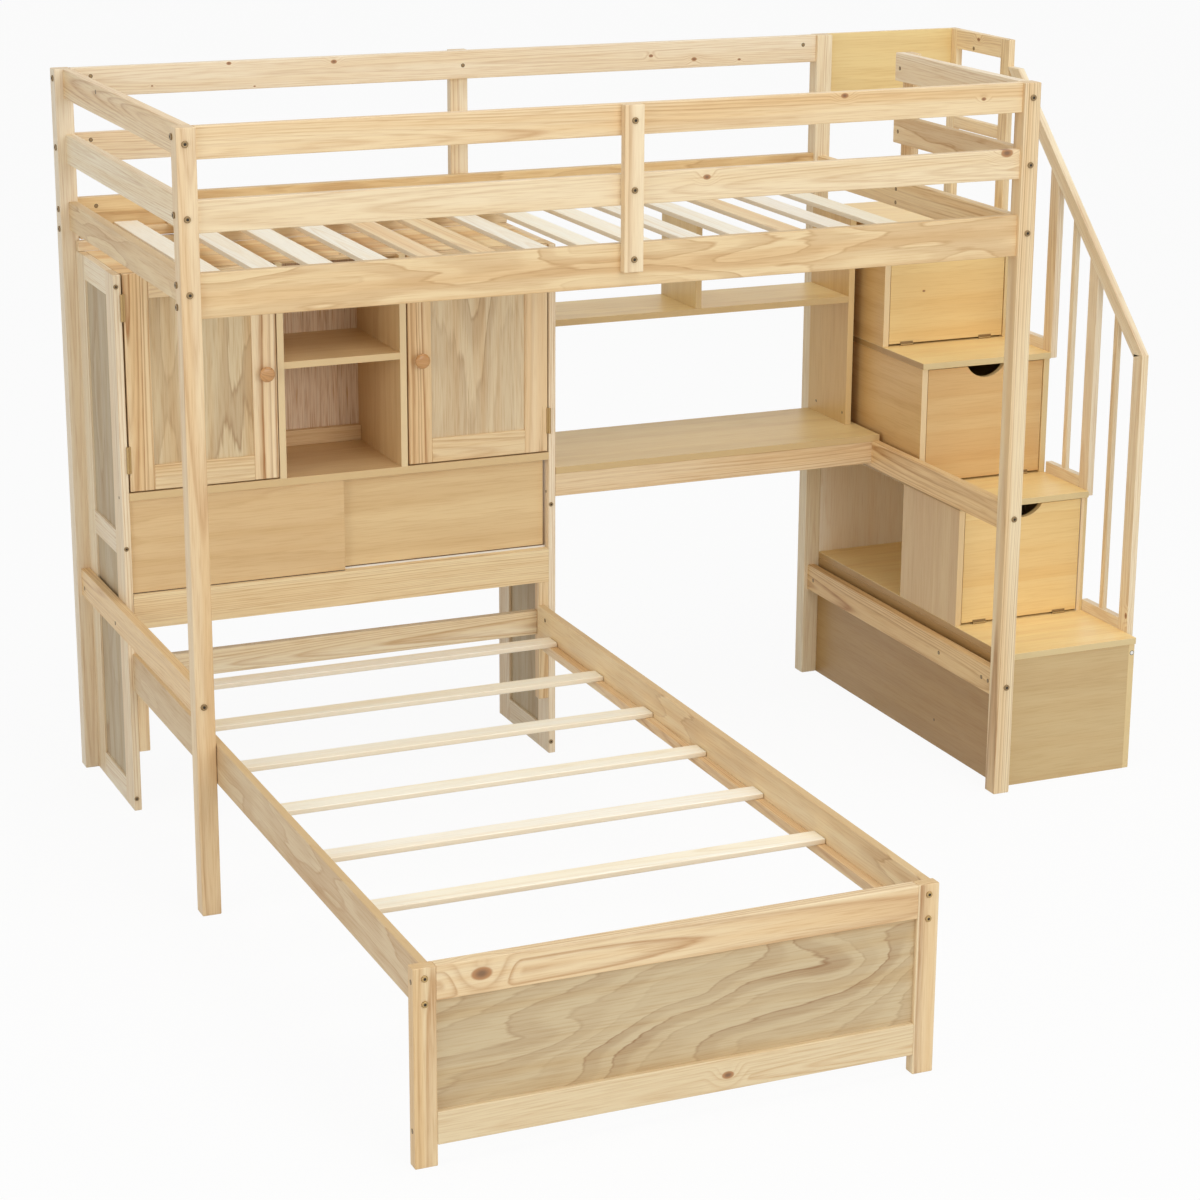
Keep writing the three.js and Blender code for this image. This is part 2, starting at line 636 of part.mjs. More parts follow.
const middleX = (outX - boltProud) / 2;
const middleY = (railBack + 2 * railThick + bedFootFront) / 2;
parts.position.set(-middleX, -middleY, 0);

const root = new THREE.Group();
root.add(parts);
export default root;
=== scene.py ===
# Pine loft bed with a lower bed, cabinet, desk and storage stairs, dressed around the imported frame.
# Lengths are typed in millimetres from the foot of the front left loft post: x right, y back, z up.
import math
import random

import bmesh
import bpy
from mathutils import Matrix, Vector


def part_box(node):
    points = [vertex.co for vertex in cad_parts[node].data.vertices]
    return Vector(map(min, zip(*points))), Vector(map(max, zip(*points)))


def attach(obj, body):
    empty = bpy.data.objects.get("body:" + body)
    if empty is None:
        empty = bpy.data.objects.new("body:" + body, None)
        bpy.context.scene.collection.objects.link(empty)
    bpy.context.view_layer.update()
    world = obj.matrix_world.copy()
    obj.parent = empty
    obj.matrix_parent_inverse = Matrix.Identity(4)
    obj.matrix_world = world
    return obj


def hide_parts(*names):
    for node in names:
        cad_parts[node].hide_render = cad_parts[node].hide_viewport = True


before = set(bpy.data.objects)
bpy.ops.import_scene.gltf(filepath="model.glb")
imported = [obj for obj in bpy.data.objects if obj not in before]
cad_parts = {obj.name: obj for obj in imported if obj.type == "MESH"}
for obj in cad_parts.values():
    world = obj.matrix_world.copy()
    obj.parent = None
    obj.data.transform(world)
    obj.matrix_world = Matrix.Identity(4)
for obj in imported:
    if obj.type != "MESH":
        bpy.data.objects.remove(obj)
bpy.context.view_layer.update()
print("frame loaded:", len(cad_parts), "nodes")

boltProud = 0.002  # the post's box starts at its bolt heads
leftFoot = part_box("loft_post_front_left")[0] + Vector((boltProud, boltProud, 0))


def place(x, y, z):
    return leftFoot + Vector((x, y, z)) / 1000


# Camera
camera = {
    "place": (-2.8286, -5.8265, 2.5602),
    "right": (0.9183, -0.3959, 0.0051),
    "up": (0.1101, 0.2678, 0.9572),
    "back": (-0.3803, -0.8784, 0.2895),
    "lens": 91.58,
}
cameraData = bpy.data.cameras.new("photoCamera")
cameraData.lens = camera["lens"]
cameraData.sensor_width = 36
cameraData.clip_end = 100
cameraObject = bpy.data.objects.new("photoCamera", cameraData)
bpy.context.scene.collection.objects.link(cameraObject)
turn = Matrix((camera["right"], camera["up"], camera["back"])).transposed().to_4x4()
cameraObject.matrix_world = Matrix.Translation(camera["place"]) @ turn
bpy.context.scene.camera = cameraObject
bpy.context.scene.view_settings.view_transform = "Standard"
print("camera set")


# Small helpers for node materials
def tone(red, green, blue):
    def linear(c):
        c /= 255
        return c / 12.92 if c <= 0.04045 else ((c + 0.055) / 1.055) ** 2.4
    return (linear(red), linear(green), linear(blue), 1)


def wire(tree, value, socket):
    if isinstance(value, bpy.types.NodeSocket):
        tree.links.new(value, socket)
    else:
        socket.default_value = value


def calc(tree, operation, a, b=0.0):
    node = tree.nodes.new("ShaderNodeMath")
    node.operation = operation
    wire(tree, a, node.inputs[0])
    wire(tree, b, node.inputs[1])
    return node.outputs[0]


def vectorCalc(tree, operation, a, b=(0, 0, 0)):
    node = tree.nodes.new("ShaderNodeVectorMath")
    node.operation = operation
    wire(tree, a, node.inputs[0])
    wire(tree, b, node.inputs[1])
    return node.outputs["Value" if operation == "LENGTH" else "Vector"]


def combine(tree, x, y, z):
    node = tree.nodes.new("ShaderNodeCombineXYZ")
    for value, socket in zip((x, y, z), node.inputs):
        wire(tree, value, socket)
    return node.outputs[0]


def fade(tree, value, low, high, outLow=0.0, outHigh=1.0):
    node = tree.nodes.new("ShaderNodeMapRange")
    node.interpolation_type = "SMOOTHSTEP"
    for given, socket in zip((value, low, high, outLow, outHigh), node.inputs):
        wire(tree, given, socket)
    return node.outputs[0]


def clouds(tree, vector, scale, detail=2.0, rough=0.5):
    node = tree.nodes.new("ShaderNodeTexNoise")
    wire(tree, vector, node.inputs["Vector"])
    wire(tree, scale, node.inputs["Scale"])
    wire(tree, detail, node.inputs["Detail"])
    wire(tree, rough, node.inputs["Roughness"])
    return node.outputs["Fac"]


def blendTone(tree, share, a, b, kind="MIX"):
    node = tree.nodes.new("ShaderNodeMix")
    node.data_type = "RGBA"
    node.blend_type = kind
    wire(tree, share, node.inputs[0])
    wire(tree, a, node.inputs[6])
    wire(tree, b, node.inputs[7])
    return node.outputs[2]


def ramp(tree, value, stops):
    node = tree.nodes.new("ShaderNodeValToRGB")
    elements = node.color_ramp.elements
    while len(elements) < len(stops):
        elements.new(0.5)
    for element, (position, grey) in zip(elements, stops):
        element.position = position
        element.color = (grey, grey, grey, 1)
    wire(tree, value, node.inputs[0])
    return node.outputs[0]


def startLook(name):
    material = bpy.data.materials.new(name)
    material.use_nodes = True
    tree = material.node_tree
    shader = tree.nodes["Principled BSDF"]
    return material, tree, shader


def bump(tree, shader, height, strength, distance):
    node = tree.nodes.new("ShaderNodeBump")
    node.inputs["Strength"].default_value = strength
    node.inputs["Distance"].default_value = distance
    wire(tree, height, node.inputs["Height"])
    tree.links.new(node.outputs[0], shader.inputs["Normal"])


# Woods. A ring figure is a log's rings cut by the board, a flame figure is peeled veneer.
# soft and hard are the two parts of a ring, warm is a broad streak, ends is end grain or the edge strip
pine = {
    "figure": "rings", "soft": (238, 214, 172), "hard": (184, 132, 76), "warm": (224, 184, 126),
    "ends": (214, 182, 134), "ring": 0.0044, "heart": 0.042, "tilt": 0.018, "wander": 0.006, "strength": 0.78,
    "warmth": 0.55, "fibre": 0.34, "edged": False, "stave": 0.0, "rough": 0.46, "bump": 0.10,
}
palePine = dict(pine, soft=(243, 228, 198), warm=(232, 204, 156), hard=(196, 152, 98), strength=0.66, warmth=0.42)
linedPine = dict(pine, soft=(244, 224, 186), hard=(166, 114, 60), strength=1.0, ring=0.0062, heart=0.09,
                 tilt=0.006, wander=0.004, fibre=0.2)
boldPine = dict(pine, soft=(240, 214, 168), hard=(174, 118, 60), warm=(224, 180, 118), strength=0.9, ring=0.006,
                warmth=0.5, wander=0.012)
slatPine = dict(pine, soft=(255, 251, 236), hard=(228, 204, 162), warm=(252, 240, 212), ends=(238, 222, 194),
                strength=0.36, warmth=0.5, fibre=0.16, edged=True, rough=0.6)
yellowSlat = dict(slatPine, soft=(246, 224, 184), warm=(232, 192, 136), hard=(200, 150, 92), strength=0.5)
railPine = {
    "figure": "flames", "soft": (234, 209, 164), "hard": (180, 132, 76), "warm": (212, 168, 110),
    "ends": (214, 184, 136), "flow": (2.4, 12.0), "rise": 0.0, "turns": 5.5, "lean": 4.0, "strength": 0.66,
    "warmth": 0.45, "fibre": 0.32, "stave": 0.0, "rough": 0.5, "bump": 0.06,
}
panelPly = {
    "figure": "flames", "soft": (222, 203, 166), "hard": (150, 108, 62), "warm": (208, 172, 120),
    "ends": (196, 164, 118), "flow": (2.0, 9.0), "rise": 0.0, "turns": 5.5, "lean": 6.0, "strength": 0.66,
    "warmth": 0.6, "fibre": 0.45, "stave": 0.0, "rough": 0.52, "bump": 0.05,
}
sidePly = dict(panelPly, soft=(196, 180, 148), warm=(184, 160, 118), strength=0.5)
footPly = dict(panelPly, soft=(208, 188, 150), warm=(196, 166, 118), hard=(138, 92, 46), flow=(2.4, 7.0),
               rise=0.45, turns=7.0, lean=18.0, strength=0.95, fibre=0.34)
# Paler, yellower copy of panelPly for the cabinet's top sheet: the paleness is painted light on the sheet under the
# deck slats
paintedLightTopPly = dict(panelPly, soft=(252, 232, 190), warm=(232, 188, 126), hard=(166, 110, 58), flow=(2.0, 7.0), strength=0.6)
laminate = {
    "figure": "flames", "soft": (224, 193, 144), "hard": (192, 150, 96), "warm": (210, 172, 118),
    "ends": (216, 192, 146), "flow": (0.9, 7.0), "rise": 0.0, "turns": 5.0, "lean": 2.0, "strength": 0.32,
    "warmth": 0.4, "fibre": 0.24, "stave": 0.0, "rough": 0.4, "bump": 0.03,
}
deskLaminate = dict(laminate, soft=(234, 209, 150), hard=(198, 162, 104), warm=(222, 190, 128), ends=(204, 174, 124))
hutchLaminate = dict(laminate, soft=(216, 182, 120), hard=(184, 142, 84), warm=(200, 160, 100), ends=(226, 198, 146))
flapLaminate = dict(laminate, soft=(240, 212, 152), hard=(204, 154, 88), warm=(228, 186, 118),
                    ends=(222, 198, 148), stave=0.085, strength=0.34, flow=(1.4, 10.0), fibre=0.2)
treadLaminate = dict(flapLaminate, soft=(250, 222, 158), warm=(240, 202, 132), ends=(212, 192, 146), stave=0.0,
                     strength=0.25)
dimFlap = dict(flapLaminate, soft=(228, 196, 138), warm=(212, 166, 104))
baseLaminate = dict(laminate, soft=(208, 182, 132), hard=(182, 148, 98), warm=(200, 168, 116))
# Darker copy of laminate: its darkness is painted shade on the lowest part of the stairs' left side and on the left
# edge band of each tread
paintedShadeLaminate = dict(laminate, soft=(186, 150, 96), hard=(156, 116, 64), warm=(172, 134, 80))
stepLaminate = dict(laminate, soft=(228, 192, 132), hard=(190, 142, 84), warm=(200, 154, 92), stave=0.13,
                    ends=(236, 214, 172))
cubbyLaminate = dict(laminate, soft=(224, 198, 152), hard=(190, 156, 112), warm=(206, 168, 122), stave=0.075,
                     ends=(236, 208, 158))
# Much paler copy of cubbyLaminate: its paleness is painted light inside the cubby, on the cubby's lining and the
# stairs' back panel
paintedLightLaminate = dict(cubbyLaminate, soft=(253, 242, 220), hard=(236, 208, 168), warm=(244, 220, 184))
backing = dict(laminate, soft=(244, 222, 194), hard=(160, 126, 96), warm=(218, 188, 156), ends=(190, 160, 128),
               flow=(1.0, 110.0), turns=9.0, strength=0.42, fibre=0.9, rough=0.55)
turned = dict(pine, soft=(208, 160, 106), hard=(132, 84, 44), warm=(196, 142, 86), ends=(190, 138, 84),
              ring=0.0028, heart=0.02, tilt=0.1, wander=0.004, strength=0.9, rough=0.24, bump=0.02)


def spread(tree, parts, along, across, shift):
    u, v, w = parts
    return vectorCalc(tree, "ADD", combine(tree, calc(tree, "MULTIPLY", u, along), calc(tree, "MULTIPLY", v, across),
                                           calc(tree, "MULTIPLY", w, across)), shift)


def centred(tree, value, reach):
    return calc(tree, "MULTIPLY", calc(tree, "SUBTRACT", value, 0.5), 2 * reach)


def woodLook(name, wood, low, high, grain, seed, knots=(), slope=0.0):
    material, tree, shader = startLook(name)
    chance = random.Random(seed)
    size = [b - a for a, b in zip(low, high)]
    along = "XYZ".index(grain)
    across, through = sorted((i for i in range(3) if i != along), key=lambda i: -size[i])
    middle = [(a + b) / 2 for a, b in zip(low, high)]

    coords = tree.nodes.new("ShaderNodeTexCoord")
    split = tree.nodes.new("ShaderNodeSeparateXYZ")
    tree.links.new(vectorCalc(tree, "SUBTRACT", coords.outputs["Object"], middle), split.inputs[0])
    facing = tree.nodes.new("ShaderNodeSeparateXYZ")
    tree.links.new(coords.outputs["Normal"], facing.inputs[0])
    u, v, w = split.outputs[along], split.outputs[across], split.outputs[through]
    if slope:  # the grain climbs at this slope, as in a sloping rail
        c, s = 1 / math.hypot(1, slope), slope / math.hypot(1, slope)
        u, v = (calc(tree, "ADD", calc(tree, "MULTIPLY", u, c), calc(tree, "MULTIPLY", v, s)),
                calc(tree, "SUBTRACT", calc(tree, "MULTIPLY", v, c), calc(tree, "MULTIPLY", u, s)))
    parts = u, v, w
    shift = [chance.uniform(-40, 40) for _ in range(3)]
    farShift = [s + 17.3 for s in shift]
    fibre = clouds(tree, spread(tree, parts, 11.0, 330.0, shift), 1.0, 2.0, 0.6)

    knotShare, knotCore, push = None, None, None
    for alongAt, acrossAt, knotSize in knots:
        knotU = alongAt / 1000 + leftFoot[along] - middle[along]
        knotV = acrossAt / 1000 + leftFoot[across] - middle[across]
        away = vectorCalc(tree, "LENGTH", combine(
            tree, calc(tree, "MULTIPLY", calc(tree, "SUBTRACT", u, knotU), 0.62),
            calc(tree, "SUBTRACT", v, knotV), 0.0))
        away = calc(tree, "DIVIDE", calc(tree, "ADD", away, centred(tree, fibre, 0.0006)), knotSize / 1000)
        share = fade(tree, away, 0.8, 1.1, 1.0, 0.0)
        core = fade(tree, away, 0.15, 0.9, 0.0, 1.0)
        bulge = fade(tree, away, 0.5, 4.0, 1.5 * knotSize / 1000, 0.0)
        knotShare = share if knotShare is None else calc(tree, "MAXIMUM", knotShare, share)
        knotCore = core if knotCore is None else calc(tree, "MINIMUM", knotCore, core)
        push = bulge if push is None else calc(tree, "MAXIMUM", push, bulge)

    if wood["figure"] == "rings":
        # Distance from the heart of the log, which runs askew below the face, in ring widths
        slow = spread(tree, parts, 1.5, 7.0, shift)
        heartV = chance.uniform(-0.6, 0.6) * size[across]
        heartW = chance.choice((-1, 1)) * wood["heart"] * chance.uniform(0.5, 1.4)
        tilt = chance.choice((-1, 1)) * wood["tilt"] * chance.uniform(0.3, 1.3)
        sway = centred(tree, clouds(tree, slow, 1.0, 1.0), wood["wander"])
        dv = calc(tree, "ADD", calc(tree, "SUBTRACT", v, heartV), sway)
        dw = calc(tree, "ADD", calc(tree, "SUBTRACT", w, calc(tree, "MULTIPLY", u, tilt)), heartW)
        far = clouds(tree, spread(tree, parts, 1.1, 5.0, farShift), 1.0, 1.0)
        dw = calc(tree, "ADD", dw, centred(tree, far, 1.6 * wood["wander"]))
        radius = vectorCalc(tree, "LENGTH", combine(tree, dv, dw, 0.0))
        if push is not None:
            radius = calc(tree, "ADD", radius, push)
        uneven = clouds(tree, combine(tree, calc(tree, "MULTIPLY", radius, 70.0), shift[0], shift[1]), 1.0, 0.0)
        rings = calc(tree, "ADD", calc(tree, "DIVIDE", radius, wood["ring"]), centred(tree, uneven, 1.1))
        rings = calc(tree, "ADD", rings, centred(tree, fibre, 0.16))
        profile = [(0.0, 0.25), (0.1, 0.0), (0.45, 0.08), (0.74, 0.6), (0.88, 1.0), (1.0, 0.25)]
        zone = far
    else:
        # Contours of a slow field, pulled long in the grain, with feathered edges
        flow = clouds(tree, spread(tree, parts, *wood["flow"], shift), 1.0, 1.4, 0.42)
        lean = chance.choice((-1, 1)) * wood["lean"] * chance.uniform(0.4, 1.2)
        rings = calc(tree, "MULTIPLY", flow, wood["turns"])
        climb = calc(tree, "SUBTRACT", v, calc(tree, "MULTIPLY", u, wood["rise"]))
        rings = calc(tree, "ADD", rings, calc(tree, "MULTIPLY", climb, lean))
        ragged = clouds(tree, spread(tree, parts, 8.0, 90.0, farShift), 1.0, 2.0, 0.6)
        rings = calc(tree, "ADD", rings, centred(tree, ragged, 0.2))
        if push is not None:
            rings = calc(tree, "ADD", rings, calc(tree, "MULTIPLY", push, 90.0))
        profile = [(0.0, 0.0), (0.3, 0.08), (0.5, 0.42), (0.86, 0.55), (0.93, 1.0), (1.0, 0.0)]
        zone = clouds(tree, spread(tree, parts, 1.3, 6.0, farShift), 1.0, 1.0)

    which = tree.nodes.new("ShaderNodeTexWhiteNoise")
    which.noise_dimensions = "1D"
    wire(tree, calc(tree, "FLOOR", rings), which.inputs["W"])
    share = calc(tree, "MULTIPLY", ramp(tree, calc(tree, "FRACT", rings), profile),
                 fade(tree, which.outputs["Value"], 0.0, 1.0, 0.3, 1.0))
    share = calc(tree, "MULTIPLY", share, fade(tree, zone, 0.34, 0.62, 0.4, 1.0))
    share = calc(tree, "MULTIPLY", share, wood["strength"] * chance.uniform(0.75, 1.2))

    broad = clouds(tree, spread(tree, parts, 0.9, 26.0, farShift), 1.0, 1.0)
    streak = fade(tree, broad, 0.4, 0.68, 0.0, wood["warmth"])
    colour = blendTone(tree, streak, tone(*wood["soft"]), tone(*wood["warm"]))
    if wood["stave"]:
        strip = tree.nodes.new("ShaderNodeTexWhiteNoise")
        strip.noise_dimensions = "1D"
        wire(tree, calc(tree, "FLOOR", calc(tree, "DIVIDE", calc(tree, "ADD", v, shift[0] + 50), wood["stave"])),
             strip.inputs["W"])
        colour = blendTone(tree, calc(tree, "MULTIPLY", strip.outputs["Value"], 0.5), colour, tone(*wood["warm"]))
    colour = blendTone(tree, share, colour, tone(*wood["hard"]))
    threads = fade(tree, fibre, 0.42, 0.75, 0.0, wood["fibre"])
    colour = blendTone(tree, threads, colour, tone(214, 184, 146), "MULTIPLY")
    lift = 1 + chance.uniform(-0.03, 0.03)
    cool = 1 + chance.uniform(-0.025, 0.025)
    colour = blendTone(tree, 1.0, colour, (lift, lift, lift * cool, 1), "MULTIPLY")
    if wood["figure"] == "rings":
        edge = fade(tree, calc(tree, "ABSOLUTE", facing.outputs[along]), 0.7, 0.95, 0.0, 0.6)
        if wood["edged"]:
            side = fade(tree, calc(tree, "ABSOLUTE", facing.outputs[across]), 0.6, 0.9, 0.0, 0.75)
            edge = calc(tree, "MAXIMUM", edge, side)
    else:
        edge = fade(tree, calc(tree, "ABSOLUTE", facing.outputs[through]), 0.5, 0.8, 0.8, 0.0)
    colour = blendTone(tree, edge, colour, tone(*wood["ends"]))
    if knotShare is not None:
        knotColour = blendTone(tree, knotCore, tone(116, 76, 46), tone(178, 124, 76))
        colour = blendTone(tree, calc(tree, "MULTIPLY", knotShare, 0.9), colour, knotColour)
    tree.links.new(colour, shader.inputs["Base Color"])
    wire(tree, fade(tree, fibre, 0.2, 0.8, wood["rough"] - 0.05, wood["rough"] + 0.08), shader.inputs["Roughness"])
    bump(tree, shader, calc(tree, "SUBTRACT", calc(tree, "MULTIPLY", fibre, 0.6), calc(tree, "MULTIPLY", share, 0.6)),
         wood["bump"] * 4, 0.0004)
    return material


def dress(node, wood, grain, knots=()):
    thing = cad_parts[node]
    low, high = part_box(node)
    look = woodLook(node + "Wood", wood, low, high, grain, node, knots)
    thing.data.materials.clear()
    thing.data.materials.append(look)


# Metals and plastics
def metalLook(name, colour, rough, metallic, wear=0.15):
    material, tree, shader = startLook(name)
    spot = tree.nodes.new("ShaderNodeTexCoord").outputs["Object"]
    grit = clouds(tree, spot, 900.0, 3.0)
    base = blendTone(tree, fade(tree, grit, 0.3, 0.8, 0.0, wear), tone(*colour),
                     tone(*[min(255, c + 70) for c in colour]))
    tree.links.new(base, shader.inputs["Base Color"])
    shader.inputs["Metallic"].default_value = metallic
    wire(tree, fade(tree, grit, 0.2, 0.8, rough - 0.06, rough + 0.08), shader.inputs["Roughness"])
    bump(tree, shader, grit, 0.15, 0.0002)
    return material


bronze = metalLook("darkBronze", (142, 118, 82), 0.38, 0.6)
brass = metalLook("agedBrass", (178, 148, 98), 0.34, 0.7)
socketDark = metalLook("socketShade", (52, 42, 30), 0.7, 0.1, 0.05)
# Dark brown for the strips that paint the shadow in the gap under each sliding door
gapShadowLook = metalLook("paintedGapShadow", (92, 66, 42), 0.6, 0.0, 0.05)
whitePlastic = metalLook("whitePlastic", (236, 235, 230), 0.4, 0.0, 0.04)
print("looks ready")


# Pieces in mesh code
def finishPiece(name, mesh, look, body, smooth=True):
    thing = bpy.data.objects.new(name, mesh)
    bpy.context.scene.collection.objects.link(thing)
    mesh.materials.append(look)
    if smooth:
        mesh.polygons.foreach_set("use_smooth", [True] * len(mesh.polygons))
        keep = thing.modifiers.new("evenNormals", "WEIGHTED_NORMAL")
        keep.keep_sharp = True
        keep.weight = 80
    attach(thing, body)
    return thing


def easedMesh(name, work, round):
    bmesh.ops.recalc_face_normals(work, faces=work.faces[:])
    bmesh.ops.bevel(work, geom=work.edges[:], offset=round / 1000, segments=3, profile=0.5, affect="EDGES",
                    clamp_overlap=True)
    mesh = bpy.data.meshes.new(name)
    work.to_mesh(mesh)
    work.free()
    return mesh


def boardMesh(name, corners, round):
    low, high = place(*[c[0] for c in corners]), place(*[c[1] for c in corners])
    work = bmesh.new()
    bmesh.ops.create_cube(work, size=1)
    bmesh.ops.scale(work, vec=high - low, verts=work.verts)
    bmesh.ops.translate(work, vec=(low + high) / 2, verts=work.verts)
    return easedMesh(name, work, round)


def boardPiece(name, corners, wood, grain, body="frame", round=1.8, knots=(), stands=()):
    low, high = place(*[c[0] for c in corners]), place(*[c[1] for c in corners])
    look = woodLook(name + "Wood", wood, low, high, grain, name, knots)
    piece = finishPiece(name, boardMesh(name, corners, round), look, body)
    if stands:
        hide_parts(stands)
    return piece


def outlinePiece(name, points, axis, a, b, wood, grain, body="frame", round=1.8, knots=(), stands=(),
                 slope=0.0):
    # points are (y, z) pairs run along x, or (x, z) pairs run along y
    def corner(first, z, run):
        return place(run, first, z) if axis == "X" else place(first, run, z)
    work = bmesh.new()
    face = work.faces.new([work.verts.new(corner(p, z, a)) for p, z in points])
    made = bmesh.ops.extrude_face_region(work, geom=[face])
    moved = [g for g in made["geom"] if isinstance(g, bmesh.types.BMVert)]
    bmesh.ops.translate(work, vec=corner(0, 0, b) - corner(0, 0, a), verts=moved)
    firsts, zs = [p[0] for p in points], [p[1] for p in points]
    low, high = corner(min(firsts), min(zs), a), corner(max(firsts), max(zs), b)
    look = woodLook(name + "Wood", wood, low, high, grain, name, knots, slope)
    piece = finishPiece(name, easedMesh(name, work, round), look, body)
    if stands:
        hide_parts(stands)
    return piece


def spunMesh(name, profile, sides, at, direction):
    # profile is (radius, height) in millimetres, spun around the direction
    work = bmesh.new()
    rings = []
    for radius, height in profile:
        count = sides if radius else 1
        rings.append([work.verts.new((radius / 1000 * math.cos(2 * math.pi * i / sides),
                                      radius / 1000 * math.sin(2 * math.pi * i / sides), height / 1000))
                      for i in range(count)])
    for a, b in zip(rings, rings[1:]):
        for i in range(sides):
            j = (i + 1) % sides
            if len(a) == 1:
                work.faces.new((a[0], b[i], b[j]))
            elif len(b) == 1:
                work.faces.new((a[i], b[0], a[j]))
            else:
                work.faces.new((a[i], b[i], b[j], a[j]))
    bmesh.ops.recalc_face_normals(work, faces=work.faces[:])
    turnTo = Vector((0, 0, 1)).rotation_difference(Vector(direction))
    bmesh.ops.transform(work, matrix=Matrix.Translation(at) @ turnTo.to_matrix().to_4x4(), verts=work.verts)
    mesh = bpy.data.meshes.new(name)
    work.to_mesh(mesh)
    work.free()
    return mesh


outward = {"left": (-1, 0, 0), "right": (1, 0, 0), "front": (0, -1, 0), "back": (0, 1, 0), "up": (0, 0, 1)}

# Round bolt head with a dished face and a hexagon socket
bolt = {"radius": 7.2, "proud": 3.3, "socket": 2.7, "depth": 1.0}


def boltPiece(name, at, side, body="frame", scale=1.0, look=bronze):
    r, h, s, d = (bolt[k] * scale for k in ("radius", "proud", "socket", "depth"))
    rim = [(0, -0.4), (r, -0.4), (r, h * 0.55), (r * 0.94, h * 0.86), (r * 0.84, h), (r * 0.62, h * 0.94),
           (s * 1.16, h * 0.9)]
    finishPiece(name, spunMesh(name, rim, 24, place(*at), outward[side]), look, body)
    hexagon = [(s * 1.3, h * 0.9), (s * 1.04, h * 0.88), (s, h - d), (0, h - d)]
    finishPiece(name + ".socket", spunMesh(name + ".socket", hexagon, 6, place(*at), outward[side]), socketDark,
                body, smooth=False)


def nutPiece(name, at, side, body="frame", radius=4.4, look=bronze):
    # Barrel nut flush in its hole, with a slot and a shadowed rim
    rim = [(0, 0.2), (radius * 0.16, 0.2), (radius * 0.2, 0.5), (radius * 0.78, 0.5), (radius * 0.86, 0.3)]
    finishPiece(name, spunMesh(name, rim, 20, place(*at), outward[side]), look, body)
    shade = [(radius * 0.84, 0.35), (radius * 0.88, 0.12), (radius * 1.08, 0.14), (radius * 1.12, -0.4)]
    finishPiece(name + ".rim", spunMesh(name + ".rim", shade, 20, place(*at), outward[side]), socketDark, body)


# Loft frame
posts = {"width": 42, "depth": 1055, "length": 2000, "height": 1695}
w = posts["width"]
for name, x, y, wood in (("FrontLeft", 0, 0, pine), ("FrontRight", posts["length"] - w, 0, linedPine),
                         ("BackLeft", 0, posts["depth"] - w, palePine),
                         ("BackRight", posts["length"] - w, posts["depth"] - w, palePine)):
    node = "loft_post_" + ("front" if y == 0 else "back") + ("_left" if x == 0 else "_right")
    boardPiece("loftPost" + name, ((x, x + w), (y, y + w), (0, posts["height"])), wood, "Z", round=2.2, stands=node)
boardPiece("frontUpright", ((975, 1020), (-12, 10), (1336, 1695)), linedPine, "Z", stands="front_upright")
boardPiece("backUpright", ((977, 1022), (1045, 1067), (1336, 1695)), palePine, "Z", stands="back_upright")
dress("front_top_rail", dict(pine, warmth=0.7), "X", ((1508, 1687, 6), (1858, 1663, 4)))
dress("front_second_rail", dict(palePine, soft=(240, 220, 182)), "X", ((1178, 1528, 6), (1924, 1539, 10)))
dress("back_top_rail", palePine, "X", ((417, 1690, 4), (675, 1683, 5), (1500, 1662, 4), (1618, 1649, 5),
                                       (1743, 1643, 3), (231, 1646, 2), (478, 1634, 2)))
dress("back_second_rail", palePine, "X")
dress("front_side_rail", dict(railPine, flow=(2.6, 14.0)), "X")
dress("back_side_rail", dict(railPine, soft=(240, 214, 166), warm=(222, 184, 126)), "X")
dress("left_end_top_rail", pine, "Y")
dress("left_end_second_rail", palePine, "Y")
dress("left_bed_end_rail", railPine, "Y")
dress("right_bed_end_rail", boldPine, "Y")
for rail in ("left_low_stretcher", "right_low_stretcher", "desk_stretcher"):
    dress(rail, dict(boldPine, soft=(240, 208, 156)), "Y")
boardPiece("entryTopRail", ((1968, 1990), (42, 622), (1628, 1695)), palePine, "Y", stands="entry_guard")
boardPiece("entrySecondRail", ((1968, 1990), (42, 622), (1478.5, 1545.5)), dict(railPine, soft=(244, 224, 184)), "Y",
           stands="entry_guard")
boardPiece("entryUpright", ((1990, 2012), (572, 622), (1323, 1695)), pine, "Z", stands="entry_guard")
print("loft frame dressed")

# Deck slats on their ledgers
deck = {"first": 155, "pitch": 127, "width": 58, "count": 14, "bottom": 1324, "top": 1336, "yellow": (4, 5, 11)}
for side, y in (("Front", 32), ("Back", 1003)):
    boardPiece("deckLedger" + side, ((43, 1957), (y, y + 20), (1302, deck["bottom"])), pine, "X",
               stands="deck_slats")
for i in range(deck["count"]):
    x = deck["first"] + i * deck["pitch"]
    boardPiece(f"deckSlat{i + 1}", ((x - deck["width"] / 2, x + deck["width"] / 2), (33, 1022),
                                    (deck["bottom"], deck["top"])),
               yellowSlat if i in deck["yellow"] else slatPine, "Y", round=2.6, stands="deck_slats")
print("deck laid")

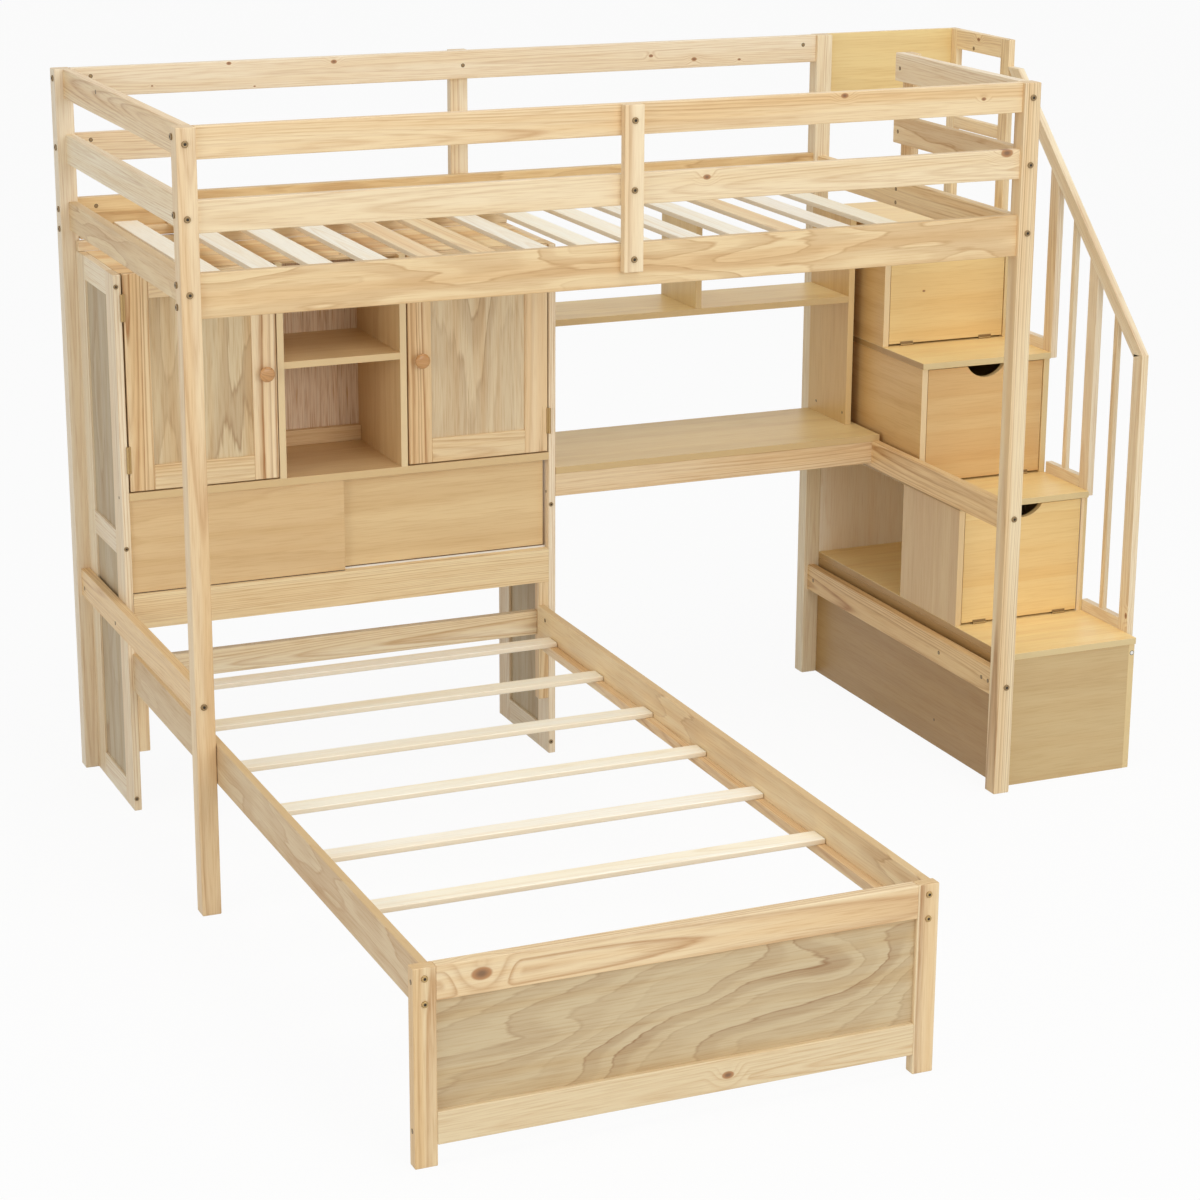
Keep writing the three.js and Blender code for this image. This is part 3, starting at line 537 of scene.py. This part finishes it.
# Cabinet sides, each two stiles, three rails and two sunk panels
cabinet = {"front": 680, "back": 1013, "top": 1276, "stile": 70, "thick": 18, "panel": 6, "x": (32, 1085)}
for side, x in zip(("left", "right"), cabinet["x"]):
    f, b, s = cabinet["front"], cabinet["back"], cabinet["stile"]
    xs = (x, x + cabinet["thick"])
    mid = x + cabinet["thick"] / 2
    inner = (mid - cabinet["panel"] / 2, mid + cabinet["panel"] / 2)
    node = f"cabinet_{side}_frame"
    for part, y0, y1, z0, z1, grain in (
            ("FrontStile", f, f + s, 0, cabinet["top"], "Z"), ("BackStile", b - s, b, 0, cabinet["top"], "Z"),
            ("LowRail", f + s, b - s, 0, 60, "Y"), ("MidRail", f + s, b - s, 612, 667, "Y"),
            ("TopRail", f + s, b - s, 1219, cabinet["top"], "Y")):
        boardPiece(side + "Frame" + part, (xs, (y0, y1), (z0, z1)), palePine, grain, stands=node)
    for part, z0, z1 in (("LowPanel", 56, 616), ("HighPanel", 663, 1223)):
        boardPiece(side + "Frame" + part, (inner, (f + s - 4, b - s + 4), (z0, z1)), sidePly, "Z", round=0.5,
                   stands=node)
edgeStrip = {"board": (218, 190, 140), "divider": (232, 210, 166), "shelf": (226, 200, 152)}
# The top sheet's paler plywood is painted light
dress("cabinet_top_sheet", paintedLightTopPly, "X")
dress("cabinet_counter_board", dict(laminate, ends=edgeStrip["board"]), "X")
dress("cabinet_bottom_board", dict(laminate, ends=edgeStrip["board"]), "X")
dress("cabinet_left_divider", dict(laminate, ends=edgeStrip["divider"]), "Z")
dress("cabinet_right_divider", dict(laminate, ends=edgeStrip["divider"]), "Z")
dress("cabinet_shelf", dict(laminate, ends=edgeStrip["shelf"]), "X")
boardPiece("cabinetFrontRail", ((50, 1085), (679.2, 702), (445, 528.3)),
           dict(palePine, soft=(246, 225, 180), warm=(228, 192, 138)), "X", round=0.3, stands="cabinet_front_rail")
dress("left_sliding_door", laminate, "X")
dress("right_sliding_door", dict(laminate, soft=(232, 204, 156)), "X")
boardPiece("cabinetBackSheet", ((50, 1085), (988, 994), (770, 1271)), backing, "Z", round=0.4,
           stands="cabinet_back_board")
boardPiece("cabinetBackRail", ((426, 709), (970, 988), (770, 808)), pine, "X", stands="cabinet_back_board")
# Rail along the back of the top sheet, seen between the slats
boardPiece("cabinetTopRail", ((32, 1103), (992, 1012), (1276.4, 1300)), palePine, "X", stands="cabinet_back_board")
# Track between the two sliding doors, and under each door a thin dark strip that is painted shadow of the gap below it
finishPiece("slideTrack", boardMesh("slideTrack", ((51, 1084), (700.7, 703.3), (528, 532)), 0.4), whitePlastic,
            "frame")
# These dark strips are painted shadow of the gap under each door; each rides with its door
for name, x0, x1, y, z, body in (("leftGlide", 51.5, 566.5, 688, 528.6, "left_slider"),
                                 ("rightGlide", 563.5, 1078.5, 704, 532.2, "right_slider")):
    strip = boardMesh(name, ((x0, x1), (y - 0.5, y + 1), (z, z + 2)), 0.2)
    finishPiece(name, strip, gapShadowLook, body)

# Cabinet doors with a sunk panel, turned knob and two knuckled hinges
door = {"front": 680, "back": 696, "low": 773, "high": 1276, "stile": 58, "hinges": (817, 1169), "hinge": 63}
knobProfile = [(0, 0), (9, 0), (8.4, 1.2), (7.4, 4.5), (7.2, 8), (8.4, 11), (12, 13.2), (15.6, 15.2),
               (17.6, 18), (18, 20.4), (17.2, 22.8), (14.6, 24.6), (10, 25.5), (5, 25.6), (0, 25.6)]


def knuckles(length, count, radius):
    step = length / count
    profile = [(0, 0)]
    for k in range(count):
        profile += [(radius * 0.9, k * step + 0.2), (radius, k * step + 0.7), (radius, (k + 1) * step - 0.7),
                    (radius * 0.9, (k + 1) * step - 0.2)]
    return profile + [(0, length)]


def hingePiece(name, x, axisX, z, body):
    barrel = spunMesh(name, knuckles(door["hinge"], 5, 3.5), 16, place(axisX, door["front"] - 3.6, z), (0, 0, 1))
    finishPiece(name, barrel, brass, body)
    leaf = boardMesh(name + ".leaf", ((min(x, axisX), max(x, axisX)), (door["front"] - 3, door["front"] + 1),
                                      (z, z + door["hinge"])), 0.4)
    finishPiece(name + ".leaf", leaf, brass, body)


for side, x0, x1, axisX in (("left", 54, 408, 49.5), ("right", 729, 1082, 1085.5)):
    body = side + "_door"
    s, z0, z1 = door["stile"], door["low"], door["high"]
    ys = (door["front"], door["back"])
    for part, a, b, low, high, grain, wood in (
            ("LeftStile", x0, x0 + s, z0, z1, "Z", boldPine), ("RightStile", x1 - s, x1, z0, z1, "Z", linedPine),
            ("LowRail", x0 + s, x1 - s, z0, z0 + s, "X", pine), ("TopRail", x0 + s, x1 - s, z1 - s, z1, "X", pine)):
        boardPiece(side + "Door" + part, ((a, b), ys, (low, high)), wood, grain, body, stands=body)
    boardPiece(side + "DoorPanel", ((x0 + s - 4, x1 - s + 4), (685, 691), (z0 + s - 4, z1 - s + 4)), panelPly, "Z",
               body, round=0.5, stands=body)
    for k, z in enumerate(door["hinges"]):
        hingePiece(f"{side}Hinge{k + 1}", x0 + 3 if side == "left" else x1 - 3, axisX, z, body)
    knobX = x1 - s / 2 if side == "left" else x0 + s / 2
    low, high = place(knobX - 18, 654, 1006), place(knobX + 18, 680, 1043)
    knobMesh = spunMesh(side + "Knob", knobProfile, 40, place(knobX, door["front"], (z0 + z1) / 2), (0, -1, 0))
    knob = finishPiece(side + "Knob", knobMesh, woodLook(side + "KnobWood", turned, low, high, "X", side + "Knob"),
                       body)
    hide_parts(side + "_door_knob")
print("cabinet built")

# Desk and hutch
dress("desk_top", deskLaminate, "X")
dress("desk_apron", pine, "X")
dress("hutch_side_panel", hutchLaminate, "Z")
boardPiece("hutchShelf", ((1103, 1957), (806, 1013), (1048, 1064)), deskLaminate, "X", round=0.8,
           stands="hutch_shelf")
boardPiece("hutchDivider", ((1530, 1546), (806, 1013), (1064, 1276)), deskLaminate, "Z", round=0.8,
           stands="hutch_shelf")

# Storage stairs: boards run the full depth at each level, with the sides standing between them
stairs = {"x": (2000, 2362), "sheet": 16, "faces": (42, 285, 491, 697), "levels": (335, 643, 951), "nose": 5,
          "back": 1013, "cubby": 565, "flap": 15, "top": 1259}
treadNodes = ("lower_tread", "middle_tread", "upper_tread")
t = stairs["sheet"]
for i, level in enumerate(stairs["levels"]):
    boardPiece(f"treadBoard{i + 1}", (stairs["x"], (stairs["faces"][i] - stairs["nose"], stairs["back"]),
                                      (level - t, level)), treadLaminate, "X", round=1.0,
               stands=treadNodes[i])
    # Thin band on each tread's left edge, in the darker laminate whose darkness is painted shade
    boardPiece(f"treadBand{i + 1}", ((1999.4, 2001), (stairs["faces"][i] - 3, stairs["back"] - 2),
                                     (level - t + 1, level - 1)), paintedShadeLaminate, "Y", round=0.3,
               stands=treadNodes[i])
floors = (0,) + stairs["levels"]
roofs = tuple(level - t for level in stairs["levels"] + (stairs["top"],))
for i, (z0, z1) in enumerate(zip(floors, roofs)):
    # The lowest left side takes the darker laminate, whose darkness is painted shade
    wood, grain = ((paintedShadeLaminate, "Y"), (cubbyLaminate, "Z"), (stepLaminate, "Y"), (stepLaminate, "Y"))[i]
    farEnd = stairs["cubby"] if i == 1 else stairs["back"]
    boardPiece(f"stairLeftSide{i + 1}", ((2000, 2000 + t), (stairs["faces"][i], farEnd), (z0, z1)), wood, grain,
               round=0.8, stands="stair_left_side")
    inner = 2354 if i == 1 else 2362 - t
    boardPiece(f"stairRightSide{i + 1}", ((inner, 2362), (stairs["faces"][i], stairs["back"]), (z0, z1)),
               dict(flapLaminate, stave=0.0), "Y", round=0.8, stands="stair_right_side")
# Lining inside the cubby, in the paler laminate whose paleness is painted light
boardPiece("cubbyLining", ((2346, 2354), (stairs["faces"][1], stairs["back"]), (335, 627)), paintedLightLaminate, "Z",
           round=0.6, stands="stair_right_side")
dress("stair_base_panel", baseLaminate, "X")
# The back panel takes the paler laminate too: painted light inside the cubby
dress("stair_back_panel", paintedLightLaminate, "Z")
dress("cubby_wall", cubbyLaminate, "Z")
dress("stair_platform", treadLaminate, "X")

# Drop-down flaps with a curved finger cut-out and two small hinges at the foot
notch = {"half": 52, "depth": 30, "steps": 18}
for i, body in enumerate(("lower_flap", "middle_flap", "upper_flap")):
    face, level = stairs["faces"][i + 1] + 2, stairs["levels"][i]
    x0, x1, z0, z1 = 2018, 2344, level + 5, level + 289
    middle = (x0 + x1) / 2
    curve = []
    for k in range(notch["steps"] + 1):
        a = 1 - 2 * k / notch["steps"]
        curve.append((middle + a * notch["half"], z1 - notch["depth"] * (1 - a * a) ** 0.8))
    outlinePiece(body + "Board", [(x0, z0), (x1, z0), (x1, z1)] + curve + [(x0, z1)], "Y", face,
                 face + stairs["flap"], dimFlap if body == "middle_flap" else flapLaminate, "X", body,
                 round=0.7, knots=((2113, 1086, 3),) if body == "upper_flap" else (), stands=body + "_door")
    for k, x in enumerate((x0 + 32, x1 - 68)):
        barrel = spunMesh(f"{body}Hinge{k + 1}", knuckles(36, 3, 2.1), 12, place(x, face - 2.3, level + 2.4), (1, 0, 0))
        finishPiece(f"{body}Hinge{k + 1}", barrel, brass, body)
        leaf = boardMesh(f"{body}Hinge{k + 1}.leaf", ((x, x + 36), (face - 1.4, face + 1), (level + 2.6, level + 10)),
                         0.3)
        finishPiece(f"{body}Hinge{k + 1}.leaf", leaf, bronze, body)
print("desk and stairs built")

# Railing beside the stairs
railing = {"x": (2362, 2380), "top": 1024, "slope": 0.968, "newel": 80, "drop": 51}


def railTop(y):
    return railing["top"] + railing["slope"] * (y - railing["newel"])


def railLow(y):
    return railTop(y) - railing["drop"]


x0, x1 = railing["x"]
outlinePiece("handrail", [(80, railTop(80) - 1), (120, railLow(120)), (753, railLow(753)), (753, railTop(705)),
                          (705, railTop(705))], "X", x0, x1, dict(palePine, soft=(255, 246, 222)), "Y",
             stands="stair_railing", slope=railing["slope"])
outlinePiece("newelPost", [(80, 185), (120, 185), (120, railLow(120) + 10), (80, railTop(80))], "X", x0, x1,
             palePine, "Z", knots=((376, 88, 5),), stands="stair_railing")
for k, (y, foot) in enumerate(((290, 628), (487, 936))):
    outlinePiece(f"railingPost{k + 1}", [(y, foot), (y + 40, foot), (y + 40, railLow(y + 40) + 4),
                                         (y, railLow(y) + 4)], "X", x0, x1, palePine, "Z", stands="stair_railing")
for k, (y0, y1, level) in enumerate(((120, 290, 335), (330, 487, 643), (527, 753, 951))):
    boardPiece(f"railingBoard{k + 1}", ((x0, x1), (y0, y1), (level - 32, level + 28)), palePine, "Y",
               stands="stair_railing")
    a = (y0 + y1) / 2 - 9
    outlinePiece(f"baluster{k + 1}", [(a, level + 26), (a + 18, level + 26), (a + 18, railLow(a + 18) + 4),
                                      (a, railLow(a) + 4)], "X", x0 + 3, x1 - 3, palePine, "Z", stands="stair_railing")
for name, ys, zs, grain in (
        ("FrontPost", (753, 793), (1100, 1695), "Z"), ("BackPost", (1015, 1055), (1100, 1695), "Z"),
        ("TopRail", (793, 1015), (1646, 1695), "Y"), ("LowRail", (793, 1015), (1442, 1473), "Y")):
    boardPiece("guard" + name, ((x0, x1), ys, zs), dict(palePine, soft=(250, 228, 184)), grain, stands="platform_guard",
               knots=((904, 1680, 5),) if name == "TopRail" else ())
boardPiece("guardBackBoard", ((2000, 2362), (1040, 1055), (1520, 1695)), dict(deskLaminate, ends=(232, 206, 158)),
           "X", stands="platform_guard")
print("railing built")

# Lower bed
foot = {"front": -1273, "back": -1247, "left": 22, "right": 1077, "stile": 44, "top": 389, "rail": 67}
ys = (foot["front"], foot["back"])
inside = (foot["left"] + foot["stile"], foot["right"] - foot["stile"])
boardPiece("footLeftStile", ((foot["left"], inside[0]), ys, (0, foot["top"])), pine, "Z", stands="footboard")
boardPiece("footRightStile", ((inside[1], foot["right"]), ys, (0, foot["top"])), linedPine, "Z", stands="footboard")
boardPiece("footTopRail", (inside, ys, (foot["top"] - foot["rail"], foot["top"])),
           dict(boldPine, soft=(240, 219, 178)), "X", knots=((152, 360, 13),), stands="footboard")
boardPiece("footLowRail", (inside, ys, (41, 106)), dict(palePine, soft=(228, 208, 170)), "X",
           knots=((641, 72, 8),), stands="footboard")
boardPiece("footPanel", ((inside[0] - 4, inside[1] + 4), (-1263, -1257), (102, 326)), footPly, "X", round=0.5,
           stands="footboard")
dress("lower_bed_left_rail", dict(railPine, soft=(220, 196, 156), warm=(200, 166, 116)), "Y")
dress("lower_bed_right_rail", dict(railPine, soft=(248, 226, 184), warm=(226, 184, 126)), "Y")
for side, x in (("Left", 61), ("Right", 1036)):
    boardPiece("bedLedger" + side, ((x, x + 20), (-1227, 601), (296, 318)), pine, "Y",
               stands="lower_bed_slats")
bedSlat = {"count": 6, "last": 551, "pitch": 281, "width": 50}
for i in range(bedSlat["count"]):
    y = bedSlat["last"] - i * bedSlat["pitch"]
    boardPiece(f"bedSlat{i + 1}", ((62, 1055), (y, y + bedSlat["width"]), (318, 330)), slatPine, "X",
               round=3.0, stands="lower_bed_slats")
boardPiece("headCleatLeft", ((50, 76), (680, 705), (145, 445)), pine, "Z", stands="lower_bed_head")
boardPiece("headCleatRight", ((1059, 1085), (680, 705), (145, 445)), pine, "Z", stands="lower_bed_head")
boardPiece("headRail", ((76, 1059), (690, 712), (310, 370)), palePine, "X", stands="lower_bed_head")
print("lower bed built")

# Bolts through the posts, uprights, cabinet sides and footboard
guardZ, secondZ, endZ = 1661.5, 1510, 1355
bolts = []
for y, side in ((0, "front"), (posts["depth"], "back")):
    bolts += [((18, y, z), side) for z in (guardZ, secondZ, endZ, 474)]
    bolts += [((1980, y, z), side) for z in ((guardZ, secondZ) if side == "front" else ()) + (endZ, 681.5, 267.5)]
for x, y, side in ((0, 33, "left"), (0, 1029, "left"), (2000, 33, "right")):
    bolts += [((x, y, z), side) for z in (guardZ + 12, secondZ + 5, endZ + 17, endZ - 29)]
bolts += [((998, -12, z), "front") for z in (guardZ, 1513, 1364)]
bolts += [((995, 1067, z), "back") for z in (guardZ, 1512, 1352.5)]
bolts += [((2012, 597, z), "right") for z in (guardZ, 1512, 1369.5, 1337.5)]
for k, (at, side) in enumerate(bolts):
    boltPiece(f"bolt{k + 1}", at, side)
for k, (x, z) in enumerate((x, z) for x in (38, 1091) for z in (30, 639.5, 1249)):
    boltPiece(f"cabinetBolt{k + 1}", (x, 680, z), "front", scale=0.76)
for k, (x, z) in enumerate((x, z) for x in (44, 1055) for z in (368, 319)):
    boltPiece(f"footBolt{k + 1}", (x, foot["front"], z), "front", scale=0.88, look=brass)

nuts = [((87, 1023, 1675), "front"), ((81, 1023, 1529), "front"), ((87, 1023, 1375), "front"),
        ((1002, 1023, 1660), "front"), ((1922, 1023, 1672), "front"), ((20, 716, 1679), "left"),
        ((1968, 599, 1659), "left"), ((1968, 599, 1507), "left"), ((1968, 599, 1367), "left"),
        ((1968, 599, 1334), "left"), ((10, 987, 464), "left"), ((10, 702, 459), "left"), ((1968, 980, 266), "left"),
        ((1968, 304, 266), "left"), ((1968, 97, 266), "left"), ((1968, 66, 266), "left"),
        ((22, -1262, 361), "left"), ((22, -1260, 71), "left"), ((1056, 633, 362), "left"),
        ((2362, 927, 1655), "left")]
for k, (at, side) in enumerate(nuts):
    nutPiece(f"nut{k + 1}", at, side)
screws = [((1957, 969, 759), "left"), ((1957, 824, 759), "left"), ((2000, 370, 66), "left"), ((32, 705, 756), "left"),
          ((1085, 697, 668), "left"), ((587, 741, 1276), "up")]
for k, (at, side) in enumerate(screws):
    nutPiece(f"screw{k + 1}", at, side, radius=3.2)
nutPiece("camCap", (2355, 42, 296), "front", radius=5.4, look=whitePlastic)
print("fasteners set")

# Floor, sky and lamps
stage = {"floor": (226, 226, 224), "sky": 0.54, "front": 146.0, "above": 105.0, "left": 66.0, "white": 0.93}
floorMesh = bpy.data.meshes.new("floor")
floorMesh.from_pydata([(-30, -30, -0.0005), (30, -30, -0.0005), (30, 30, -0.0005), (-30, 30, -0.0005)], [],
                      [(0, 1, 2, 3)])
floor = bpy.data.objects.new("floor", floorMesh)
bpy.context.scene.collection.objects.link(floor)


def whiteRays(tree):
    rays = tree.nodes.new("ShaderNodeLightPath").outputs
    return calc(tree, "MAXIMUM", rays["Is Camera Ray"],
                calc(tree, "MAXIMUM", rays["Is Glossy Ray"], rays["Is Transmission Ray"]))


floorLook, tree, shader = startLook("paleFloor")
shader.inputs["Base Color"].default_value = tone(*stage["floor"])
shader.inputs["Roughness"].default_value = 0.9
shader.inputs["Specular IOR Level"].default_value = 0.1
glow = tree.nodes.new("ShaderNodeEmission")
glow.inputs["Color"].default_value = (1, 1, 1, 1)
pick = tree.nodes.new("ShaderNodeMixShader")
tree.links.new(calc(tree, "MULTIPLY", whiteRays(tree), stage["white"]), pick.inputs[0])
tree.links.new(shader.outputs[0], pick.inputs[1])
tree.links.new(glow.outputs[0], pick.inputs[2])
tree.links.new(pick.outputs[0], tree.nodes["Material Output"].inputs["Surface"])
floorMesh.materials.append(floorLook)

world = bpy.data.worlds.new("paleRoom")
bpy.context.scene.world = world
world.use_nodes = True
tree = world.node_tree
background = tree.nodes["Background"]
background.inputs["Color"].default_value = (1, 1, 1, 1)
tree.links.new(calc(tree, "MAXIMUM", whiteRays(tree), stage["sky"]), background.inputs["Strength"])


def softLamp(name, at, target, power, width):
    data = bpy.data.lights.new(name, "AREA")
    data.energy = power
    data.shape = "DISK"
    data.size = width
    lamp = bpy.data.objects.new(name, data)
    bpy.context.scene.collection.objects.link(lamp)
    lamp.location = at
    lamp.rotation_euler = (Vector(target) - Vector(at)).to_track_quat("-Z", "Y").to_euler()


softLamp("frontLamp", (0.9, -6.6, 3.2), (0, 0, 0.8), stage["front"], 4.0)
softLamp("aboveLamp", (0.3, -1.2, 6.4), (0, 0, 0.6), stage["above"], 4.0)
softLamp("leftLamp", (-6.0, -2.6, 2.2), (0, 0, 0.8), stage["left"], 3.0)
print("stage lit")
